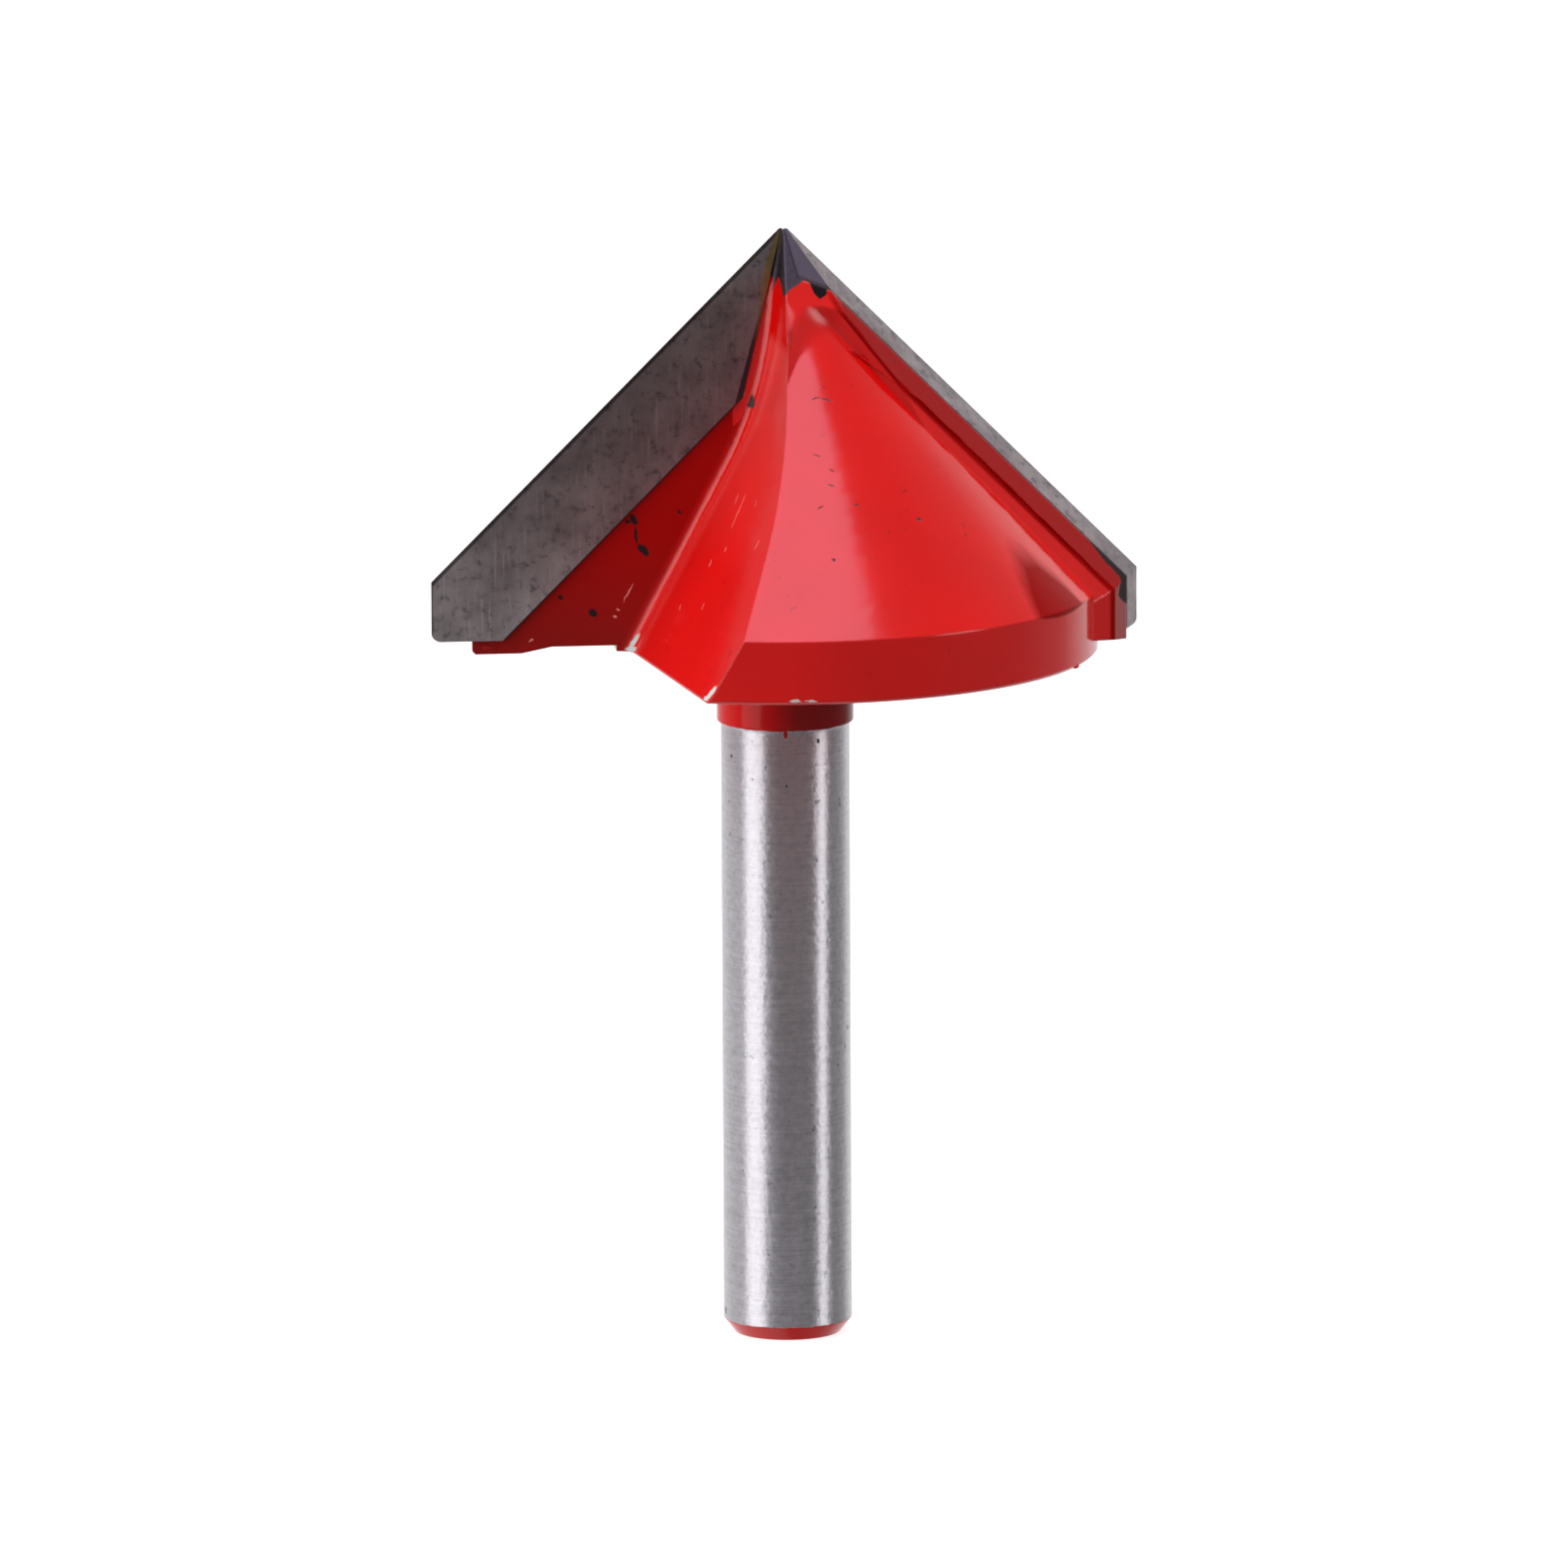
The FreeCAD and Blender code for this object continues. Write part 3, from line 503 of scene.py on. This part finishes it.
    # The relief, the gullet floor and the neck mirror less of the room than the rest.
    quiet = together(tree, [both(tree, relief_face, 0.92), both(tree, floor_painted_shade, 0.8), both(tree, on_neck, 0.68)])
    specular = add(tree, "MapRange", {"Value": quiet, "To Min": 0.5, "To Max": 0.0})
    tree.links.new(specular, shader.inputs["Specular IOR Level"])
    tree.links.new(bumped, shader.inputs["Normal"])
    return material


def tip_facet(tree, x, y, z):
    """A mask of the clearance facet that is ground across steel, filler and carbide on each side of the point."""
    side = half_sign(tree, y)
    front_x, front_y = both(tree, x, side), both(tree, y, side)
    plane = add(tree, "Math", {
        0: add(tree, "Math", {0: front_x, 1: -0.397, 2: 55.46}, operation="MULTIPLY_ADD"),
        1: both(tree, front_y, 1.131)}, operation="ADD")
    away = add(tree, "Math", {0: add(tree, "Math", {0: z, 1: plane}, operation="SUBTRACT")}, operation="ABSOLUTE")
    return beyond(tree, 0.06, away, 0.04)


def ground_carbide(metals):
    """Sintered carbide, ground on its rake face and clearances.

    It is a dark, warm grey metal with faint straight grinding lines and smudges, and a smear of filler that ran
    over its inner margin near the tip."""
    material, tree, shader, point = new_finish("ground_carbide", {"Metallic": 1.0})
    x, y, z = [add(tree, "SeparateXYZ", {0: point}, out=axis) for axis in "XYZ"]
    out_from_axis = add(tree, "Math", {0: x}, operation="ABSOLUTE")
    smudge = add(tree, "TexNoise", {"Vector": point, "Scale": 1 / 2.2, "Detail": 6.0, "Roughness": 0.65})
    # Grinding lines about 0.01 mm apart, drawn at 0.15 mm, steep across the rake face.
    lines_place = add(tree, "Mapping", {
        "Vector": point, "Rotation": (0.0, math.radians(-28.0), 0.0), "Scale": (1 / 0.16, 1.0, 1 / 2.4)})
    lines = add(tree, "TexNoise", {"Vector": lines_place, "Scale": 1.0, "Detail": 3.0})
    spots = add(tree, "TexNoise", {"Vector": point, "Scale": 1 / 0.55, "Detail": 3.0, "Roughness": 0.7})
    grey = blend(tree, add(tree, "MapRange", {"Value": smudge, "From Min": 0.3, "From Max": 0.7}),
                 tinted(metals.carbide, 0.6), tinted(metals.carbide, 1.3))
    grey = blend(tree, add(tree, "MapRange", {"Value": lines, "From Min": 0.56, "From Max": 0.72, "To Max": 0.5}),
                 grey, tinted(metals.carbide, 1.7))
    grey = blend(tree, add(tree, "MapRange", {"Value": spots, "From Min": 0.45, "From Max": 0.33, "To Max": 0.75}),
                 grey, tinted(metals.carbide, 0.4))
    # Painted in after the photograph: the rake face is brightest at its foot, darkest at half height, and warm.
    level = limit_line(tree, z, 0.0, 2.0, RAKE_LEVELS)
    on_rake = beyond(tree, 0.06, add(tree, "Math", {0: y}, operation="ABSOLUTE"), 0.04)
    gain = add(tree, "Mix", {FACTOR: on_rake, FIRST_NUMBER: 1.1, SECOND_NUMBER: level}, out=MIXED_NUMBER)
    shades = add(tree, "VectorMath", {0: grey, "Scale": gain}, operation="SCALE")
    warmth = blend(tree, on_rake, (1.0, 1.0, 1.0, 1.0), (1.0, 1.07, 1.06, 1.0))
    shades = add(tree, "VectorMath", {0: shades, 1: warmth}, operation="MULTIPLY")

    # The cutting edge shows as one fine dark line, along the V and down the straight side.
    out_and_up = add(tree, "Math", {0: out_from_axis, 1: z}, operation="ADD")
    to_edge = add(tree, "Math", {0: 55.3, 1: out_and_up}, operation="SUBTRACT")
    near_edge = together(tree, [beyond(tree, 0.12, to_edge, 0.08), beyond(tree, out_from_axis, 17.39, 0.06)])
    shades = blend(tree, both(tree, both(tree, near_edge, on_rake), 0.7), shades, EDGE_BLACK)

    # Filler smeared over the inner margin, 0.4 mm wide below the tip and gone after 3.5 mm.
    from_seam = add(tree, "Math", {
        0: add(tree, "Math", {0: out_from_axis, 1: 0.950, 2: -0.969}, operation="MULTIPLY_ADD"),
        1: add(tree, "Math", {0: z, 1: 0.312, 2: -16.137}, operation="MULTIPLY_ADD")}, operation="ADD")
    smear_width = limit_line(tree, z, 0.0, 1.0, SMEAR_WIDTHS)
    smear = both(tree, both(tree, beyond(tree, smear_width, from_seam, 0.12), on_rake), beyond(tree, z, 51.4, 0.8))
    brass = blend(tree, spots, tinted(metals.filler, 0.22), tinted(metals.filler, 0.8))
    colour = blend(tree, smear, shades, brass)
    # The tip facet is darker slate than the rest of the carbide, a painted shade.
    colour = blend(tree, tip_facet(tree, x, y, z), colour, FACET_SLATE)
    tree.links.new(colour, shader.inputs["Base Color"])
    roughness = add(tree, "MapRange", {"Value": smudge, "To Min": 0.52, "To Max": 0.36})
    tree.links.new(roughness, shader.inputs["Roughness"])
    scored = add(tree, "Bump", {"Height": lines, "Strength": 0.15, "Distance": 0.02 * MM})
    tree.links.new(scored, shader.inputs["Normal"])
    return material


def braze_filler(metals):
    """Silver-bearing brass filler as it solidified: a warm pale metal with a slightly wavy, dull skin."""
    material, tree, shader, point = new_finish("solidified_brazing_filler", {"Metallic": 1.0})
    skin = add(tree, "TexNoise", {"Vector": point, "Scale": 1 / 0.4, "Detail": 3.0})
    colour = blend(tree, skin, tinted(metals.filler, 0.6), tinted(metals.filler, 1.0))
    # On the facet that is ground across it, and along the blades below the tip, it is as dark as the slate, a painted
    # shade.
    x, y, z = [add(tree, "SeparateXYZ", {0: point}, out=axis) for axis in "XYZ"]
    ground = together(tree, [tip_facet(tree, x, y, z), beyond(tree, 51.0, z, 3.0)])
    colour = blend(tree, ground, colour, FILLER_PAINTED_SHADE)
    tree.links.new(colour, shader.inputs["Base Color"])
    roughness = add(tree, "MapRange", {"Value": skin, "To Min": 0.3, "To Max": 0.5})
    tree.links.new(roughness, shader.inputs["Roughness"])
    return material


class BIT_OT_finish_body(bpy.types.Operator):
    """Lacquer the steel body, leave its shank bare and mark its wear"""
    bl_idname = "router_bit.finish_body"
    bl_label = "Finish Steel Body"

    def execute(self, context):
        dress("steel_body", lacquered_steel(context.scene.bit_lacquer, context.scene.bit_metals))
        return {"FINISHED"}


def bead(name, line, radius, wander, seed):
    """A bead of lacquer along a line of points in mm: a closed tube whose width and place vary a little."""
    mesh = bpy.data.meshes.new(name)
    work = bmesh.new()
    points = []
    for start, end in zip(line, line[1:]):
        start, end = Vector(start), Vector(end)
        steps = max(2, round((end - start).length / 0.25))
        points += [start.lerp(end, step / steps) for step in range(steps)]
    points.append(Vector(line[-1]))
    count, around = len(points), 10
    rings = []
    for index, at in enumerate(points):
        ahead = points[min(index + 1, count - 1)] - points[max(index - 1, 0)]
        turn = ahead.to_track_quat("Z", "Y")
        drift = noise.noise_vector(at * 0.9 + Vector((seed, 0.0, 0.0))) * wander
        taper = math.sqrt(max(0.02, 1.0 - (2.0 * index / (count - 1) - 1.0) ** 6))
        wide = radius * taper * (1.0 + 0.35 * noise.noise(at * 1.6 + Vector((0.0, seed, 0.0))))
        ring = []
        for corner in range(around):
            angle = 2 * math.pi * corner / around
            offset = turn @ Vector((math.cos(angle), math.sin(angle), 0.0)) * wide
            ring.append(work.verts.new((at + drift + offset) * MM))
        rings.append(ring)
    for lower, upper in zip(rings, rings[1:]):
        for corner in range(around):
            following = (corner + 1) % around
            work.faces.new((lower[corner], lower[following], upper[following], upper[corner]))
    work.faces.new(reversed(rings[0]))
    work.faces.new(rings[-1])
    for face in work.faces:
        face.smooth = True
    work.to_mesh(mesh)
    work.free()
    piece = bpy.data.objects.new(name, mesh)
    bpy.context.scene.collection.objects.link(piece)
    return piece


class BIT_OT_lacquer_beads(bpy.types.Operator):
    """Add the beads and lumps in which the lacquer dried along the edges"""
    bl_idname = "router_bit.lacquer_beads"
    bl_label = "Add Lacquer Beads"

    def execute(self, context):
        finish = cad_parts["steel_body"].material_slots[0].material
        # Front places in mm, where the lacquer stands up as a raised line or a drop.
        wing_edge = (
            (2.9, -3.25, 49.75), (3.9, -3.2, 49.0), (5.1, -3.58, 48.1), (6.3, -3.6, 47.15), (9.5, -3.57, 44.0),
            (12.2, -3.6, 41.25), (14.4, -3.6, 39.05), (15.15, -3.65, 38.2), (15.4, -3.75, 37.6))
        beads = (
            ("lacquer_bead_wing", wing_edge, 0.085, 0.04),
            ("lacquer_drop_wing", ((15.45, -3.8, 37.2), (15.45, -3.8, 37.0)), 0.13, 0.0),
            ("lacquer_drop_seat", ((-15.1, 0.35, 34.66), (-14.0, 0.4, 34.55)), 0.2, 0.0),
            ("lacquer_burr_band", ((13.4, -7.35, 34.4), (13.75, -6.75, 34.4)), 0.17, 0.0),
        )
        for half, turn in (("a", 1.0), ("b", -1.0)):
            for seed, (name, line, radius, wander) in enumerate(beads):
                placed = [(px * turn, py * turn, pz) for px, py, pz in line]
                piece = bead(f"{name}_{half}", placed, radius, wander, 3.0 * seed + turn)
                piece.data.materials.append(finish)
                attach(piece, "root")
        return {"FINISHED"}


class BIT_OT_finish_blades(bpy.types.Operator):
    """Give both carbide blades their ground faces"""
    bl_idname = "router_bit.finish_blades"
    bl_label = "Finish Carbide Blades"

    def execute(self, context):
        carbide = ground_carbide(context.scene.bit_metals)
        for node in ("carbide_blade_a", "carbide_blade_b"):
            dress(node, carbide)
        return {"FINISHED"}


class BIT_OT_finish_braze(bpy.types.Operator):
    """Give both layers of filler their colour"""
    bl_idname = "router_bit.finish_braze"
    bl_label = "Finish Braze Layers"

    def execute(self, context):
        filler = braze_filler(context.scene.bit_metals)
        for node in ("braze_layer_a", "braze_layer_b"):
            dress(node, filler)
        return {"FINISHED"}


def studio_world(toward_camera, to_the_right):
    """The room round the bit: dark grey behind the camera, mid grey at the sides and a white sweep behind.

    Camera rays see plain white. Mirror images in metal and lacquer show the sweep and the room."""
    world = bpy.data.worlds.new("studio_room")
    world.use_nodes = True
    tree = world.node_tree
    tree.nodes.clear()
    direction = add(tree, "TexCoord", out="Generated")
    ahead = add(tree, "VectorMath", {0: direction, 1: toward_camera}, out="Value", operation="DOT_PRODUCT")
    aside = add(tree, "VectorMath", {0: direction, 1: to_the_right}, out="Value", operation="DOT_PRODUCT")
    angle = add(tree, "Math", {0: aside, 1: ahead}, operation="ARCTAN2")
    turn = add(tree, "MapRange", {"Value": angle, "From Min": -math.pi, "From Max": math.pi})
    room = add(tree, "ValToRGB", {"Fac": turn})
    set_stops(room, [((degrees + 180) / 360, level) for degrees, level in ROOM_LEVELS])
    # Toward the camera the table's front edge is dark, and the wall above it is lighter.
    height = add(tree, "SeparateXYZ", {0: direction}, out="Z")
    wall = add(
        tree, "MapRange", {"Value": height, "From Min": -0.1, "From Max": 0.35, "To Min": 1.1, "To Max": 1.7},
        interpolation_type="SMOOTHSTEP")
    in_front = add(tree, "MapRange", {"Value": ahead, "From Min": -0.1, "From Max": 0.4})
    gain = add(tree, "Mix", {FACTOR: in_front, FIRST_NUMBER: 1.0, SECOND_NUMBER: wall}, out=MIXED_NUMBER)
    room = add(tree, "VectorMath", {0: room, "Scale": gain}, operation="SCALE")
    # The lens sees plain white all round. Mirror images see the white sweep where it stands, behind the bit.
    path = tree.nodes.new("ShaderNodeLightPath")
    mirrored = together(tree, [path.outputs["Is Glossy Ray"], path.outputs["Is Transmission Ray"]])
    sweep = add(tree, "MapRange", {"Value": ahead, "From Min": -0.55, "From Max": -0.9})
    white = together(tree, [path.outputs["Is Camera Ray"], both(tree, mirrored, sweep)])
    colour = blend(tree, white, room, (1.0, 1.0, 1.0, 1.0))
    background = add(tree, "Background", {"Color": colour, "Strength": 1.0})
    add(tree, "OutputWorld", {"Surface": background})
    return world


def softbox(name, centre, aim, width, height, radiance, colour=(1.0, 1.0, 1.0)):
    """A rectangular lamp that faces the bit, hidden from the lens. Its power follows from its radiance."""
    lamp = bpy.data.lights.new(name, "AREA")
    lamp.shape = "RECTANGLE"
    lamp.size, lamp.size_y = width, height
    lamp.energy = radiance * width * height * math.pi
    lamp.color = colour
    holder = bpy.data.objects.new(name, lamp)
    centre, aim = Vector(centre), Vector(aim)
    holder.matrix_world = Matrix.LocRotScale(centre, (aim - centre).to_track_quat("-Z", "Y"), None)
    holder.visible_camera = False
    bpy.context.scene.collection.objects.link(holder)
    return holder


class BIT_OT_stage(bpy.types.Operator):
    """Set up the floor, the lamps, the room and the camera"""
    bl_idname = "router_bit.stage"
    bl_label = "Set Up Studio"

    def execute(self, context):
        scene = context.scene
        studio = scene.bit_studio
        turn, lift = studio.camera_turn, studio.camera_lift
        flat = Vector((-math.sin(turn), -math.cos(turn), 0.0))
        right = Vector((math.cos(turn), -math.sin(turn), 0.0))
        toward = flat * math.cos(lift) + Vector((0.0, 0.0, math.sin(lift)))

        lens = bpy.data.cameras.new("photograph_camera")
        lens.lens = LENS_MM
        lens.sensor_width = SENSOR_MM
        camera = bpy.data.objects.new("photograph_camera", lens)
        aim = Vector(AIM_MM) * MM
        roll = Quaternion((0.0, 0.0, 1.0), studio.camera_roll)
        camera.matrix_world = Matrix.LocRotScale(
            aim + toward * studio.camera_distance, (-toward).to_track_quat("-Z", "Y") @ roll, None)
        scene.collection.objects.link(camera)
        scene.camera = camera

        scene.world = studio_world(flat, right)
        middle = Vector((0.0, 0.0, 0.03))

        def round_about(degrees, reach, height):
            angle = math.radians(degrees)
            return (flat * math.cos(angle) + right * math.sin(angle)) * reach + Vector((0.0, 0.0, height))

        for name, degrees, reach, height, width, tallness, radiance in SIDE_LAMPS:
            softbox(name, round_about(degrees, reach, height), middle, width, tallness, radiance)
        top = softbox("top_softbox", (-0.052, 0.055, 0.6), (-0.052, 0.055, 0.0), 0.64, 0.6, 2.85, TOP_LAMP_COLOUR)
        top.matrix_world = top.matrix_world @ Matrix.Rotation(math.radians(-26), 4, "Z")

        side = studio.floor_size / 2
        floor_mesh = bpy.data.meshes.new("studio_floor")
        floor_mesh.from_pydata(
            [(-side, -side, 0.0), (side, -side, 0.0), (side, side, 0.0), (-side, side, 0.0)], [], [(0, 1, 2, 3)])
        floor = bpy.data.objects.new("studio_floor", floor_mesh)
        floor.location.z = -0.02 * MM
        scene.collection.objects.link(floor)
        floor_mesh.materials.append(white_floor())
        # The lamps reach below the floor, so only the lens sees the floor, with the bit's shadow on it.
        floor.visible_glossy = False
        floor.visible_diffuse = False
        floor.visible_shadow = False
        scene.view_settings.view_transform = "Standard"
        return {"FINISHED"}


def white_floor():
    """Matt white board. Its own light brings it to white for the lens, and the bit's shadow still darkens it."""
    material = bpy.data.materials.new("matt_white_board")
    material.use_nodes = True
    tree = material.node_tree
    tree.nodes.clear()
    board = add(tree, "BsdfDiffuse", {"Color": (0.35, 0.35, 0.35, 1.0)})
    glow = add(tree, "Emission", {"Color": (1.0, 1.0, 1.0, 1.0), "Strength": 0.85})
    surface = add(tree, "AddShader", {0: board, 1: glow})
    add(tree, "OutputMaterial", {"Surface": surface})
    return material


class BIT_PT_panel(bpy.types.Panel):
    """Lists the steps that dress the router bit"""
    bl_label = "Router Bit"
    bl_idname = "BIT_PT_panel"
    bl_space_type = "VIEW_3D"
    bl_region_type = "UI"
    bl_category = "Router Bit"

    def draw(self, context):
        for group in (context.scene.bit_lacquer, context.scene.bit_metals, context.scene.bit_studio):
            for name in group.__annotations__:
                self.layout.prop(group, name)
        for operator in OPERATORS:
            self.layout.operator(operator.bl_idname)


OPERATORS = (BIT_OT_finish_body, BIT_OT_lacquer_beads, BIT_OT_finish_blades, BIT_OT_finish_braze, BIT_OT_stage)
CLASSES = (BitLacquerSettings, BitMetalSettings, BitStudioSettings, *OPERATORS, BIT_PT_panel)


def register():
    """Registers the settings, the operators and the panel."""
    for cls in CLASSES:
        bpy.utils.register_class(cls)
    bpy.types.Scene.bit_lacquer = bpy.props.PointerProperty(type=BitLacquerSettings)
    bpy.types.Scene.bit_metals = bpy.props.PointerProperty(type=BitMetalSettings)
    bpy.types.Scene.bit_studio = bpy.props.PointerProperty(type=BitStudioSettings)


def unregister():
    """Removes what register() added."""
    del bpy.types.Scene.bit_studio
    del bpy.types.Scene.bit_metals
    del bpy.types.Scene.bit_lacquer
    for cls in reversed(CLASSES):
        bpy.utils.unregister_class(cls)


def main():
    """Runs every step."""
    register()
    bpy.ops.router_bit.finish_body()
    bpy.ops.router_bit.lacquer_beads()
    bpy.ops.router_bit.finish_blades()
    bpy.ops.router_bit.finish_braze()
    bpy.ops.router_bit.stage()


if __name__ == "__main__":
    main()
